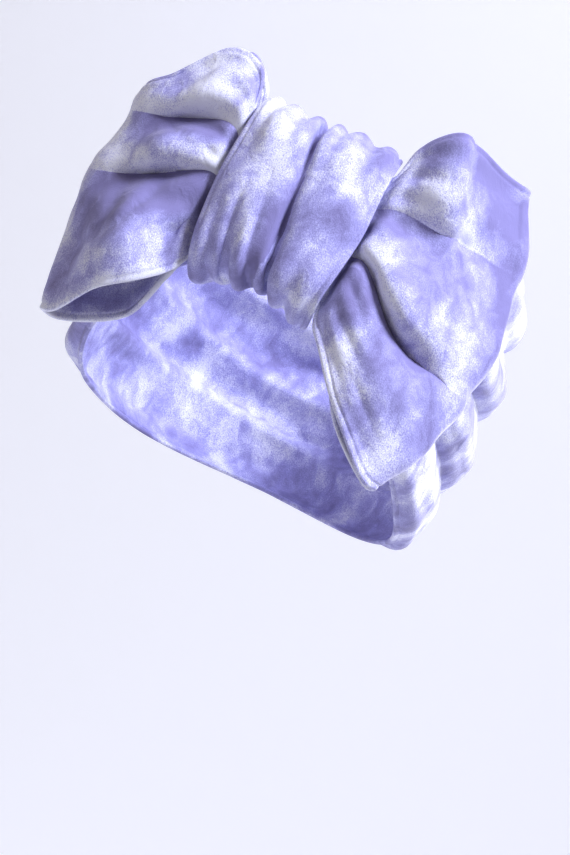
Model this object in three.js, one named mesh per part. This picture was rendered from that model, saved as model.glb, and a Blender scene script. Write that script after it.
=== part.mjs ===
// Turban headband in crushed velvet: a wide gathered band, a bow of two loops, and a ruched wrap
// that holds the bow's middle to the band. Millimetres, +Z up, the bow faces -Y.
// The origin is the middle of the head that wears it. Left and right are as seen from the front.
import * as THREE from "three";
import { ParametricGeometry } from "three/addons/geometries/ParametricGeometry.js";
import { mergeVertices } from "three/addons/utils/BufferGeometryUtils.js";

// The head that the band is cut for: a rounded box of these half sizes, and how square it is.
const HEAD = { halfWidth: 80, halfLength: 98, halfHeight: 110, squareness: 2.4 };

// Velvet walls: each piece is doubled cloth, and the pieces lie a small gap apart.
const BAND_WALL = 2.4;
const BOW_WALL = 2.6;
const WRAP_WALL = 2.4;
const GAP = 0.7;

// The bow's own plane: the latitude of its middle on the forehead, and how far it leans back.
const BOW = { latitude: 28, lean: 20 };

// Mesh density: steps round each piece's ring, and across its cloth from edge to edge.
const BAND_STEPS = { around: 54, across: 18 };
const BOW_STEPS = { aroundSpan: 3, acrossLobe: 6 };
const WRAP_STEPS = { around: 30, across: 24 };

// The band by turn from the front in degrees: the latitudes of its two edges, the height of its
// folds, and how far it is lifted off the head to let the wrap pass beneath.
const BAND_SECTIONS = [
  { turn: 0, lower: 16, upper: 42, fold: 2, lift: 3.8 },
  { turn: 18, lower: 13, upper: 43, fold: 2.4, lift: 3.8 },
  { turn: 45, lower: -6, upper: 44, fold: 5, lift: 2.5 },
  { turn: 75, lower: -26, upper: 40, fold: 7.5, lift: 4 },
  { turn: 105, lower: -36, upper: 31, fold: 8, lift: 5 },
  { turn: 140, lower: -43, upper: 17, fold: 7, lift: 3 },
  { turn: 180, lower: -46, upper: 10, fold: 6, lift: 2 },
];
// Its folds from the lower edge up: the share of the width that each takes, its height beside the
// others, and how far its upper limit drifts on the way round.
const BAND_FOLDS = [
  { share: 0.25, height: 0.85, drift: 0.03 },
  { share: 0.23, height: 1, drift: -0.03 },
  { share: 0.27, height: 0.95, drift: 0.035 },
  { share: 0.25, height: 0.8, drift: 0 },
];
const BAND_DROOP = 0.3;

// The bow's fold lines, one row each from the top edge to the bottom edge. Distances run outwards
// from the bow's middle (along), up its plane (up) and off the head (out), at the wrap's middle
// (core), at the wrap's edge (knot), just beyond it (neck), halfway out on the front (mid), at the
// outer fold (rim) and halfway back behind (back). A tucked line starts further in under the wrap,
// a risen one reaches its rim higher, and fold is half the thickness of the loop there.
const LEFT_LOOP = [
  { line: "top edge", coreUp: 27, knotUp: 30, neckUp: 50, midAlong: 52, midUp: 54, midOut: 15,
    rimAlong: 80, rimUp: 28, rimOut: 4, backAlong: 50, backUp: 60, backOut: 0, rise: 5 },
  { line: "upper fold", coreUp: 11, knotUp: 18, neckUp: 23, midAlong: 57, midUp: 22, midOut: 6,
    rimAlong: 84, rimUp: 15, rimOut: 1, backAlong: 54, backUp: 22, backOut: -8 },
  { line: "lower fold", coreUp: -3, knotUp: 1, neckUp: 2, midAlong: 60, midUp: -6, midOut: 6,
    rimAlong: 87, rimUp: -14, rimOut: -3, backAlong: 56, backUp: -10, backOut: -10 },
  { line: "bottom edge", coreUp: -24, knotUp: -33, neckUp: -45, midAlong: 54, midUp: -61, midOut: 18,
    rimAlong: 76, rimUp: -77, rimOut: 1, backAlong: 48, backUp: -64, backOut: -8, tuck: 3.5, fold: 5 },
];
const RIGHT_LOOP = [
  { line: "top edge", coreUp: 27, knotUp: 30, neckUp: 47, midAlong: 52, midUp: 57, midOut: 19,
    rimAlong: 78, rimUp: 59, rimOut: -16, backAlong: 52, backUp: 53, backOut: -14 },
  { line: "upper fold", coreUp: 11, knotUp: 16, neckUp: 19, midAlong: 58, midUp: 21, midOut: 8,
    rimAlong: 91, rimUp: 22, rimOut: -17, backAlong: 60, backUp: 20, backOut: -22 },
  { line: "lower fold", coreUp: -3, knotUp: -8, neckUp: -12, midAlong: 62, midUp: -30, midOut: 4,
    rimAlong: 95, rimUp: -36, rimOut: -5, backAlong: 60, backUp: -26, backOut: -18 },
  { line: "bottom edge", coreUp: -24, knotUp: -31, neckUp: -42, midAlong: 53, midUp: -65, midOut: 17,
    rimAlong: 80, rimUp: -86, rimOut: 7, backAlong: 50, backUp: -64, backOut: -6, tuck: 3.5, fold: 4 },
];
// The soft lobes between those fold lines: how far each swells at the neck, halfway and at the rim,
// and how low its fullest part sags. From openAt on, its fold opens out into the next lobe.
const LEFT_LOBES = [
  { neck: 4, mid: 12, rim: 1, sag: 1.9 },
  { neck: 4, mid: 13, rim: 0.5, sag: 2.1 },
  { neck: 4, mid: 13, rim: 0.5, sag: 1.4 },
];
const RIGHT_LOBES = [
  { neck: 5, mid: 11, rim: 1, sag: 2.1, openAt: 60 },
  { neck: 5, mid: 18, rim: 5, sag: 2.2 },
  { neck: 4, mid: 12, rim: 3, sag: 1.3 },
];
const BOW_CORE = { along: 0, frontOut: 19.5, backOut: 11, swell: 0.5 };
const BOW_KNOT = { along: 31, frontOut: 15, backOut: 5.5, swell: 0.6 };
const BOW_NECK = { along: 38, frontOut: 16, backOut: 1 };
const RIM_FOLD = 7;
const FOLD_OPENS = 78;
const BACK_SWELL = 2;

// The wrap by station round its ring: up and out of the bow's plane, half its width there,
// where the deep fold splits it, how far it and its two lobes swell, how deep its gathers are, and
// how far its middle arches up. Stations inside the band follow the head.
const WRAP_STATIONS = [
  { place: "front middle", up: 0, out: 20, halfWidth: 32, split: 0.54, crown: 4, swell: 5, gather: 0 },
  { place: "front upper", up: 27, out: 19.5, halfWidth: 31.5, split: 0.49, crown: 3, swell: 4, gather: 0.6 },
  { place: "top", up: 40, out: 9, halfWidth: 30.5, split: 0.46, swell: 2, gather: 1.3 },
  { place: "inner upper", up: 36, inside: true, halfWidth: 24 },
  { place: "inner middle", up: 0, inside: true, halfWidth: 22 },
  { place: "inner lower", up: -33, inside: true, halfWidth: 22, arch: 5 },
  { place: "bottom", up: -39, out: 7, halfWidth: 26, split: 0.66, swell: 2, gather: 1.5, arch: 8 },
  { place: "front lower", up: -27, out: 19.2, halfWidth: 29, split: 0.6, crown: 3, swell: 4, gather: 0.9,
    arch: 4 },
];
// How far the right lobe rolls over the deep fold between the two, and the number of gathers.
const WRAP_ROLL = 4;
const WRAP_GATHERS = 6;

const LAVENDER = 0xa39ee0;
const radians = THREE.MathUtils.degToRad;
const mix = THREE.MathUtils.lerp;

// A table's column as a smooth curve over its key column, mirrored past both ends so as to end level.
function curveOf(rows, key, column) {
  const [first, last] = [rows[0], rows.at(-1)];
  const [before, after] = [rows[1], rows.at(-2)];
  const keys = [2 * first[key] - before[key], ...rows.map((row) => row[key]), 2 * last[key] - after[key]];
  const values = [before[column], ...rows.map((row) => row[column]), after[column]];
  const curve = new THREE.CubicInterpolant(keys, values, 1, [0]);
  return (at) => curve.evaluate(at)[0];
}

// Size of a point beside the head's surface: 1 on it, more outside.
function headReach(point) {
  const m = HEAD.squareness;
  const parts = [point.x / HEAD.halfWidth, point.y / HEAD.halfLength, point.z / HEAD.halfHeight];
  return parts.reduce((sum, part) => sum + Math.abs(part) ** m, 0) ** (1 / m);
}

// Point on the head at a turn from the front and a latitude, both in degrees.
function headPoint(turn, latitude) {
  const [t, l] = [radians(turn), radians(latitude)];
  const ray = new THREE.Vector3(Math.cos(l) * Math.sin(t), -Math.cos(l) * Math.cos(t), Math.sin(l));
  ray.multiply(new THREE.Vector3(HEAD.halfWidth, HEAD.halfLength, HEAD.halfHeight));
  return ray.divideScalar(headReach(ray));
}

// Outward normal of the head at a point on it.
function headNormal(point) {
  const slope = (x, half) => (Math.sign(x) * Math.abs(x / half) ** (HEAD.squareness - 1)) / half;
  return new THREE.Vector3(
    slope(point.x, HEAD.halfWidth),
    slope(point.y, HEAD.halfLength),
    slope(point.z, HEAD.halfHeight),
  ).normalize();
}

// The bow's frame: along is +X, up leans back, and out points off the forehead.
const bowOrigin = headPoint(0, BOW.latitude);
const bowUp = new THREE.Vector3(0, Math.sin(radians(BOW.lean)), Math.cos(radians(BOW.lean)));
const bowOut = new THREE.Vector3(0, -bowUp.z, bowUp.y);
function bowPoint(along, up, out) {
  return bowOrigin.clone().addScaledVector(bowUp, up).addScaledVector(bowOut, out).setX(along);
}

// How far out of the bow's plane the head's surface lies, by halving the span that holds it.
function headOut(along, up) {
  let [low, high] = [-HEAD.halfLength, HEAD.halfLength / 2];
  for (let i = 0; i < 30; i += 1) {
    const middle = (low + high) / 2;
    if (headReach(bowPoint(along, up, middle)) < 1) low = middle;
    else high = middle;
  }
  return low;
}

// A ring of cloth as one closed wall. surface(u, s) gives its middle, with u round the ring and s
// from one edge to the other; the wall's outline goes out along one face and back on the other.
function clothRing(surface, wall, around, across) {
  const step = 1e-3;
  const normalAt = (u, s) => {
    const around = surface(u + step, s).sub(surface(u - step, s));
    const side = (from, to) => around.clone().cross(surface(u, to).sub(surface(u, from))).normalize();
    const normal = new THREE.Vector3();
    if (s > 0) normal.add(side(s - step, s));
    if (s < 1) normal.add(side(s, s + step));
    return normal.normalize();
  };
  const rows = 2 * across + 2;
  const outline = (u, v, target) => {
    const row = Math.round(v * rows) % rows;
    const face = row <= across ? 1 : -1;
    const s = (face > 0 ? row : rows - 1 - row) / across;
    target.copy(surface(u % 1, s)).addScaledVector(normalAt(u % 1, s), (face * wall) / 2);
  };
  const geometry = new ParametricGeometry(outline, around, rows);
  geometry.deleteAttribute("normal");
  geometry.deleteAttribute("uv");
  return mergeVertices(geometry, 1e-3);
}

const band = Object.fromEntries(
  ["lower", "upper", "fold", "lift"].map((column) => [column, curveOf(BAND_SECTIONS, "turn", column)]),
);

// Height of the band's folds, from 0 in a valley to 1 on the tallest ridge.
function bandRidge(turn, s) {
  let start = 0;
  let edge = 0;
  for (const [i, row] of BAND_FOLDS.entries()) {
    edge += row.share;
    const end = edge + row.drift * Math.sin(radians(2 * turn + 80 * i));
    if (s <= end || i === BAND_FOLDS.length - 1) {
      const t = THREE.MathUtils.clamp((s - start) / (end - start), 0, 1);
      return row.height * Math.sin(Math.PI * t) ** 1.2;
    }
    start = end;
  }
  return 0;
}

// The band's middle surface: u goes round the head from the back, s from the lower edge to the upper.
function bandSurface(u, s) {
  const turn = (((u + 1) % 1) - 0.5) * 360;
  const at = Math.abs(turn);
  const height = band.fold(at) * bandRidge(turn, s);
  const latitude = mix(band.lower(at), band.upper(at), s) - BAND_DROOP * height;
  const point = headPoint(turn, latitude);
  return point.addScaledVector(headNormal(point), band.lift(at) + BAND_WALL / 2 + height);
}

// Keeps the bow off the band: a point too close to the head is moved out until it clears the folds.
function clearOfBand(point) {
  const foot = point.clone().divideScalar(headReach(point));
  const normal = headNormal(foot);
  const height = point.clone().sub(foot).dot(normal);
  const at = Math.abs(THREE.MathUtils.radToDeg(Math.atan2(point.x, -point.y)));
  const needed = band.lift(at) + BAND_WALL + band.fold(at) + GAP + BOW_WALL / 2;
  const ease = 3;
  const short = needed - height;
  const push = short > ease ? short : Math.max(0, short + ease) ** 2 / (4 * ease);
  return point.addScaledVector(normal, push);
}

// One fold line of the bow as a closed curve: out over the right loop, back behind it, and the same
// on the left loop.
function foldLine(right, left) {
  const side = (row, sign, { tuck = 0, rise = 0, fold = RIM_FOLD } = row) => [
    bowPoint(sign * (BOW_KNOT.along - tuck), row.knotUp, BOW_KNOT.frontOut - tuck),
    bowPoint(sign * (BOW_NECK.along - tuck), row.neckUp, BOW_NECK.frontOut),
    bowPoint(sign * row.midAlong, row.midUp, row.midOut),
    bowPoint(sign * (row.rimAlong - fold), row.rimUp + rise, row.rimOut + fold),
    bowPoint(sign * row.rimAlong, row.rimUp, row.rimOut),
    bowPoint(sign * (row.rimAlong - fold), row.rimUp, row.rimOut - fold),
    bowPoint(sign * row.backAlong, row.backUp, row.backOut),
    bowPoint(sign * BOW_NECK.along, row.neckUp, BOW_NECK.backOut),
    bowPoint(sign * BOW_KNOT.along, row.knotUp, BOW_KNOT.backOut),
  ];
  const points = [
    bowPoint(BOW_CORE.along, right.coreUp, BOW_CORE.frontOut),
    ...side(right, 1),
    bowPoint(BOW_CORE.along, right.coreUp, BOW_CORE.backOut),
    ...side(left, -1).reverse(),
  ];
  return new THREE.CatmullRomCurve3(points, true, "centripetal");
}
const foldLines = RIGHT_LOOP.map((row, i) => foldLine(row, LEFT_LOOP[i]));
const bowSpans = foldLines[0].points.length;
const lobeCount = foldLines.length - 1;

// How far a lobe swells at each point of those curves, in the same order.
function swellRing(right, left) {
  const side = ({ neck, mid, rim }) => [
    BOW_KNOT.swell, neck, mid, rim, rim, rim, BACK_SWELL, BACK_SWELL, BOW_KNOT.swell,
  ];
  return [BOW_CORE.swell, ...side(right), BOW_CORE.swell, ...side(left).reverse()];
}
const swells = RIGHT_LOBES.map((lobe, i) => swellRing(lobe, LEFT_LOBES[i]));

// The bow's middle surface: u goes round the loop, s from the top edge to the bottom edge.
function bowSurface(u, s) {
  const ring = (u + 1) % 1;
  const lobe = Math.min(lobeCount - 1, Math.floor(s * lobeCount));
  const t = s * lobeCount - lobe;
  const at = (turn, line) => foldLines[line].getPoint((turn + 1) % 1);
  const top = at(ring, lobe);
  const across = at(ring, lobe + 1).sub(top);
  const step = 1e-3;
  const along = at(ring + step, lobe).sub(at(ring - step, lobe));
  along.add(at(ring + step, lobe + 1)).sub(at(ring - step, lobe + 1));
  const beyond = Math.abs(at(ring, 1).x);
  const outwards = across.clone().cross(along).normalize();
  outwards.x *= mix(0.3, 1, THREE.MathUtils.smoothstep(beyond, 60, 75));
  outwards.normalize();
  const span = Math.floor(ring * bowSpans) % bowSpans;
  const share = THREE.MathUtils.smoothstep(ring * bowSpans - span, 0, 1);
  const swell = mix(swells[lobe][span], swells[lobe][(span + 1) % bowSpans], share);
  const { sag, openAt = FOLD_OPENS } = (ring < 0.5 ? RIGHT_LOBES : LEFT_LOBES)[lobe];
  const opened = THREE.MathUtils.smoothstep(beyond, openAt, openAt + 14);
  const rise = Math.max(0, Math.sin(Math.PI * t ** mix(sag, 1.4, opened)));
  const height = swell * rise ** mix(1, 1.6, opened);
  return clearOfBand(top.addScaledVector(across, t).addScaledVector(outwards, height));
}

// The wrap's height at a place across its width: two lobes with the deep fold between them.
function wrapLobe(across, split) {
  const share = across < split ? across / split : (across - split) / (1 - split);
  return Math.sin(Math.PI * share) ** 0.75;
}

// One line of the wrap round its ring, at a place across its width.
function wrapLine(across) {
  const side = 2 * across - 1;
  const points = WRAP_STATIONS.map((row) => {
    const up = row.up + (row.arch ?? 0) * (1 - side ** 2);
    if (row.inside) {
      const along = side * row.halfWidth;
      return bowPoint(along, up, headOut(along, up) + GAP + WRAP_WALL / 2);
    }
    const lobe = wrapLobe(across, row.split);
    const over = across > row.split ? WRAP_ROLL * lobe * (1 - side) ** 2 : 0;
    const gather = row.gather * Math.sin(2 * Math.PI * WRAP_GATHERS * across);
    const height = (row.crown ?? 0) * (1 - side ** 2) + row.swell * lobe + gather;
    const tilt = Math.PI * 0.5 * (row.up / 44);
    const along = side * row.halfWidth - over;
    return bowPoint(along, up + height * Math.sin(tilt), row.out + height * Math.cos(tilt));
  });
  return new THREE.CatmullRomCurve3(points, true, "centripetal");
}

// The wrap's middle surface: u goes round the ring, s from the left edge to the right.
const wrapLines = new Map();
function wrapSurface(u, s) {
  if (!wrapLines.has(s)) wrapLines.set(s, wrapLine(s));
  return wrapLines.get(s).getPoint((u + 1) % 1);
}

// A named piece in its own velvet.
function piece(name, geometry) {
  const velvet = new THREE.MeshStandardMaterial({ color: LAVENDER, roughness: 0.75, metalness: 0 });
  velvet.name = `${name}_velvet`;
  const mesh = new THREE.Mesh(geometry, velvet);
  mesh.name = name;
  return mesh;
}

const headband = new THREE.Group();
headband.add(
  piece("head_band", clothRing(bandSurface, BAND_WALL, BAND_STEPS.around, BAND_STEPS.across)),
  piece(
    "bow",
    clothRing(bowSurface, BOW_WALL, bowSpans * BOW_STEPS.aroundSpan, lobeCount * BOW_STEPS.acrossLobe),
  ),
  piece("centre_wrap", clothRing(wrapSurface, WRAP_WALL, WRAP_STEPS.around, WRAP_STEPS.across)),
);

export default headband;
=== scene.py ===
"""Crushed-velvet turban headband: a gathered band, a bow of two loops and a ruched centre wrap.

The tables below hold millimetres and degrees in the headband's own frame: +Z up, the bow faces -Y,
and the origin is the middle of the head that wears it. Meshes are made in metres.
"""

from __future__ import annotations

import logging
import math
from dataclasses import dataclass
from enum import Enum
from typing import NamedTuple

import bmesh
import bpy
import numpy as np
from mathutils import Matrix, Vector

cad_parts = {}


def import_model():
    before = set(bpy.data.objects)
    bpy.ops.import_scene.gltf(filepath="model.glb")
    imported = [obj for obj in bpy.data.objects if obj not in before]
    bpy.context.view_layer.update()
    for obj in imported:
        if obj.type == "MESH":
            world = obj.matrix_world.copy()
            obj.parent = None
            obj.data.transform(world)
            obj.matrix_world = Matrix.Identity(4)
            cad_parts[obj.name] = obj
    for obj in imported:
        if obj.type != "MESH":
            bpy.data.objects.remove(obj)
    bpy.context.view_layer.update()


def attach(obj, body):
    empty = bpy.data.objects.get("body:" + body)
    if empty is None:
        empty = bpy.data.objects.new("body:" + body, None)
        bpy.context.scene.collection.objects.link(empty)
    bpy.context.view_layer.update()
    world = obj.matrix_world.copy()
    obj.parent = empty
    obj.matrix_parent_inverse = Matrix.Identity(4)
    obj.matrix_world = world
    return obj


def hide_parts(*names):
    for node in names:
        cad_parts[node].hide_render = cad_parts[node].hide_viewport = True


Array = np.ndarray
Pair = tuple[float, float]
Triple = tuple[float, float, float]
Socket = bpy.types.NodeSocket
LOG = logging.getLogger("turban_headband")
MM = 0.001
ROW_SAMPLES = 721  # fine steps across a strip, by which its rows are spaced
COLUMN_STEP = 6  # every sixth column is enough for that
WELD = 0.001 * MM  # points closer than this are sewn together


class Held(Enum):
    """How a strip of the velvet is held in the finished headband."""

    GATHERED = "gathered"
    FOLDED = "folded"


class Ramp(NamedTuple):
    """A smooth rise from a least share at start to 1 a span further on. A span below 0 runs back."""

    start: float
    span: float
    least: float = 0.0

    def at(self, place: Array) -> Array:
        """Share of the rise at a place."""
        return self.least + (1 - self.least) * ease((place - self.start) / self.span)


class BandSection(NamedTuple):
    """The band at one turn from the front: its edges' latitudes, its folds' height and its lift."""

    turn: float
    lower: float
    upper: float
    fold: float
    lift: float


class BandFold(NamedTuple):
    """One fold of the band: its share of the width, its height, and how far its limit drifts."""

    share: float
    height: float
    drift: float


class FoldLine(NamedTuple):
    """One fold line of a loop, from under the wrap out over the front, round the rim and back.

    Distances run outwards from the bow's middle (along), up its plane (up) and off the head (out). A
    tucked line starts further in under the wrap, a risen one reaches its rim higher, and fold is half
    the thickness of the loop there.
    """

    core_up: float
    knot_up: float
    neck_up: float
    mid_along: float
    mid_up: float
    mid_out: float
    rim_along: float
    rim_up: float
    rim_out: float
    back_along: float
    back_up: float
    back_out: float
    tuck: float = 0.0
    rise: float = 0.0
    fold: float = 7.0


class Pinch(NamedTuple):
    """A place where the wrap holds the bow: how far along it is, and how far out its two layers lie."""

    along: float
    front_out: float
    back_out: float


class Lobe(NamedTuple):
    """A soft lobe between two fold lines: how far it swells, how low it sags and how blunt it is.

    Its colour runs from an upper lean to a lower one, painted sheen and painted shade. From open_at on,
    towards the rim, the fold opens out and the lobe runs smoothly into the next.
    """

    neck: float
    mid: float
    rim: float
    sag: float
    blunt: float
    upper_painted_light: float
    lower_painted_light: float
    open_at: float = 78.0


class FlapEnd(NamedTuple):
    """The line from foot to top where the right loop's flap steps down to the flat rim.

    Edge is half the step's width, fade the distance in which it dies away on both sides, and begins
    the shares of the way up the line over which it grows.
    """

    foot_along: float
    foot_up: float
    top_along: float
    top_up: float
    height: float
    edge: float
    fade: float
    begins: Ramp


class WrapStation(NamedTuple):
    """The wrap at one place round its ring. A station inside the band follows the head.

    Split is where the deep fold lies, as a share of the width. Crown and swell are the heights of the
    whole and of each lobe, gather that of the gathers, and arch is how far the middle is lifted.
    """

    up: float
    half_width: float
    out: float = 0.0
    split: float = 0.5
    crown: float = 0.0
    swell: float = 0.0
    gather: float = 0.0
    arch: float = 0.0
    inside: bool = False


class Dent(NamedTuple):
    """A local hollow (or, with a negative depth, a roll) on the bow's front, in the bow's plane."""

    along: float
    up: float
    slope: float
    half_length: float
    half_width: float
    depth: float


class Panel(NamedTuple):
    """A soft light panel. Its place and aim are metres right, up and towards the camera from the bow."""

    name: str
    place: Triple
    size: float
    watts: float
    colour: str
    aim: Triple = (0.0, 0.0, 0.0)


BAND_SECTIONS = (
    BandSection(0, 16, 42, 2.0, 3.8),
    BandSection(18, 13, 43, 2.4, 3.8),
    BandSection(45, -6, 44, 5.0, 2.5),
    BandSection(75, -26, 40, 7.5, 4.0),
    BandSection(105, -36, 31, 8.0, 5.0),
    BandSection(140, -43, 17, 7.0, 3.0),
    BandSection(180, -46, 10, 6.0, 2.0),
)
BAND_FOLDS = (
    BandFold(0.25, 0.85, 0.03),
    BandFold(0.23, 1.0, -0.03),
    BandFold(0.27, 0.95, 0.035),
    BandFold(0.25, 0.8, 0.0),
)
# The fold lines from the top edge to the bottom edge, and the lobes between them.
LEFT_LOOP = (
    FoldLine(27, 30, 50, 52, 54, 15, 80, 28, 4, 50, 60, 0, rise=5),
    FoldLine(11, 18, 23, 57, 22, 6, 84, 15, 1, 54, 22, -8),
    FoldLine(-3, 1, 2, 60, -6, 6, 87, -14, -3, 56, -10, -10),
    FoldLine(-24, -33, -45, 54, -61, 18, 76, -77, 1, 48, -64, -8, tuck=3.5, fold=5),
)
RIGHT_LOOP = (
    FoldLine(27, 30, 47, 52, 57, 19, 78, 59, -16, 52, 53, -14),
    FoldLine(11, 16, 19, 58, 21, 10, 91, 22, -17, 60, 20, -22),
    FoldLine(-3, -6, -7, 62, -29, 7, 95, -36, -5, 60, -26, -18),
    FoldLine(-24, -31, -42, 53, -65, 17, 80, -86, 7, 50, -64, -6, tuck=3.5, fold=4),
)
LEFT_LOBES = (
    Lobe(4, 12, 1, 1.7, 0.75, 0.4, 0.85),
    Lobe(4, 13, 0.5, 1.6, 0.7, -1.0, 0.75),
    Lobe(4, 13, 0.5, 1.2, 0.85, -0.9, 0.0),
)
RIGHT_LOBES = (
    Lobe(2.5, 6, 1, 1.5, 0.55, -0.2, 0.5, 60),
    Lobe(5, 15, 5, 2.2, 0.8, -0.4, 0.4),
    Lobe(6, 12, 3, 0.65, 0.9, -0.6, 0.35),
)
# Places round the bow's ring: it starts at the front middle, goes out over the right loop to its outer
# fold, back behind the wrap, and round the left loop.
RIGHT_RIM, BACK_MIDDLE, LEFT_RIM = 0.25, 0.5, 0.75
WRAP_STATIONS = (
    WrapStation(0, 32, 20, 0.54, 4, 5, 0.0),
    WrapStation(27, 31.5, 19.5, 0.49, 3, 4, 0.6),
    WrapStation(40, 30.5, 9, 0.46, 0, 2, 1.3),
    WrapStation(36, 24, inside=True),
    WrapStation(0, 22, inside=True),
    WrapStation(-33, 22, arch=5, inside=True),
    WrapStation(-39, 26, 7, 0.66, 0, 2, 1.5, 8),
    WrapStation(-27, 29, 19.2, 0.6, 3, 4, 0.9, 4),
)
# Where the deep fold splits the wrap's width: by height up the bow's plane, and by place round the ring.
SPLIT_UP = ((-38, -26, 0, 27, 40), (0.66, 0.6, 0.54, 0.49, 0.46))
SPLIT_ROUND = ((0, 1 / 8, 2 / 8), (0.54, 0.52, 0.5))
BOW_DENTS = (
    Dent(-37, -27, 70, 12, 4.5, 5.0),
    Dent(66, 20, -10, 5, 3.0, 4.0),
    Dent(31, -36, -65, 12, 3.0, -2.0),
    Dent(-56, -26, 80, 15, 2.4, 1.5),
    Dent(-66, -30, 100, 17, 2.6, 1.4),
    Dent(-48, -44, 60, 12, 2.2, 1.2),
    Dent(-62, -52, 115, 10, 2.2, 1.1),
    Dent(-60, 12, 150, 10, 2.0, 1.0),
    Dent(-57, 40, 55, 12, 2.2, 1.3),
    Dent(70, -10, 160, 15, 2.4, 1.3),
    Dent(62, -58, 140, 14, 2.4, 1.3),
)
PANELS = (
    Panel("key_panel", (1.05, 0.7, 0.6), 0.6, 44.0, "#E8EDFF"),
    Panel("top_panel", (-0.1, 1.25, 0.4), 0.8, 4.0, "#F8F6F4"),
    Panel("side_panel", (0.9, -0.6, -1.3), 0.6, 22.0, "#F4F8FF"),
    Panel("wall_panel", (0.9, 1.6, -1.6), 1.6, 16.0, "#EDF2FF", (-0.4, -0.1, -2.6)),
)


def table_curve(rows: tuple[BandSection, ...], column: str, at: Array) -> Array:
    """Reads a column of a table as a smooth curve over its first column, level at both ends.

    Args:
        rows: the table, in order of its first column.
        column: the name of the column to read.
        at: places along the first column.

    Returns:
        The column's values at those places.
    """
    keys = np.array([row[0] for row in rows], float)
    values = np.array([getattr(row, column) for row in rows], float)
    slopes = np.pad((values[2:] - values[:-2]) / (keys[2:] - keys[:-2]), 1)
    i = np.clip(np.searchsorted(keys, at, side="right") - 1, 0, len(rows) - 2)
    width = keys[i + 1] - keys[i]
    share = (at - keys[i]) / width
    return hermite(values[i], values[i + 1], slopes[i] * width, slopes[i + 1] * width, share)


def hermite(a: Array, b: Array, da: Array, db: Array, t: Array) -> Array:
    """Cubic from a to b with end slopes da and db, at the share t of the way."""
    start = (2 * t**3 - 3 * t**2 + 1) * a + (t**3 - 2 * t**2 + t) * da
    return start + (3 * t**2 - 2 * t**3) * b + (t**3 - t**2) * db


def closed_curve(points: Array, at: Array) -> Array:
    """Runs a smooth closed curve through points, in even steps from one point to the next.

    Args:
        points: the points in order, with coordinates on the last axis.
        at: places round the curve, from 0 to 1.

    Returns:
        The curve's points at those places.
    """
    count = len(points)
    place = (at % 1.0) * count
    span = np.floor(place).astype(int) % count
    t = (place - np.floor(place)).reshape((-1,) + (1,) * (points.ndim - 1))
    p0, p1, p2, p3 = (points[(span + k) % count] for k in (-1, 0, 1, 2))
    spans = ((p0, p1), (p1, p2), (p2, p3))
    d0, d1, d2 = (np.sqrt(np.linalg.norm(b - a, axis=-1, keepdims=True)) for a, b in spans)
    start = ((p1 - p0) / d0 - (p2 - p0) / (d0 + d1) + (p2 - p1) / d1) * d1
    end = ((p2 - p1) / d1 - (p3 - p1) / (d1 + d2) + (p3 - p2) / d2) * d1
    return hermite(p1, p2, start, end, t)


def ease(t: Array) -> Array:
    """Smooth step from 0 to 1, level at both ends."""
    t = np.clip(t, 0.0, 1.0)
    return t * t * (3 - 2 * t)


def bell(distance: Array, width: float) -> Array:
    """Bell curve: 1 at no distance, and almost gone at twice the width."""
    return np.exp(-((distance / width) ** 2))


def unit(vectors: Array) -> Array:
    """The same directions with a length of 1."""
    return vectors / np.maximum(np.linalg.norm(vectors, axis=-1, keepdims=True), 1e-9)


def grid_normals(grid: Array) -> Array:
    """Unit normals of a ring of cloth given as rows across by columns round."""
    around = np.roll(grid, -1, axis=1) - np.roll(grid, 1, axis=1)
    return unit(np.cross(around, np.gradient(grid, axis=0)))


def join(*parts: Array | float) -> Array:
    """Coordinates joined on a last axis."""
    return np.stack(np.broadcast_arrays(*parts), -1)


@dataclass(frozen=True)
class SoftWaves:
    """Gentle random dents of about one size: a seeded sum of plane waves."""

    size: float  # usual distance from crest to crest, in mm
    seed: int
    depth: float  # usual height of the crests, in mm
    count: int = 24
    lengths: Pair = (0.7, 1.5)  # shortest and longest wave, as shares of the size

    def heights(self, points: Array) -> Array:
        """Adds up the waves.

        Args:
            points: places in millimetres.

        Returns:
            Heights there, mostly within 1.5 times the depth.
        """
        rng = np.random.default_rng(self.seed)
        direction = unit(rng.normal(size=(self.count, 3)))
        length = self.size * rng.uniform(*self.lengths, self.count)
        phase = rng.uniform(0, 2 * math.pi, self.count)
        waves = np.sin(points @ (direction / length[:, None] * 2 * math.pi).T + phase)
        return self.depth * waves.sum(-1) / math.sqrt(self.count / 2)


@dataclass(frozen=True)
class HeadForm:
    """The head that the band is cut for: a rounded box, squarer than an ellipsoid."""

    half_width: float = 80.0
    half_length: float = 98.0
    half_height: float = 110.0
    squareness: float = 2.4

    @property
    def halves(self) -> Array:
        """Its half sizes along X, Y and Z."""
        return np.array([self.half_width, self.half_length, self.half_height])

    def reach(self, points: Array) -> Array:
        """Size of points beside the head's surface: 1 on it, more outside."""
        return (np.abs(points / self.halves) ** self.squareness).sum(-1) ** (1 / self.squareness)

    def point(self, turn: Array, latitude: Array) -> Array:
        """Finds points on the head.

        Args:
            turn: degrees round from the front.
            latitude: degrees up from the middle.

        Returns:
            The points, in millimetres.
        """
        t, lat = np.radians(turn), np.radians(latitude)
        ray = np.stack([np.cos(lat) * np.sin(t), -np.cos(lat) * np.cos(t), np.sin(lat)], -1) * self.halves
        return ray / self.reach(ray)[..., None]

    def normal(self, points: Array) -> Array:
        """Outward normals of the head at points on it."""
        return unit(np.sign(points) * np.abs(points / self.halves) ** (self.squareness - 1) / self.halves)


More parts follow.
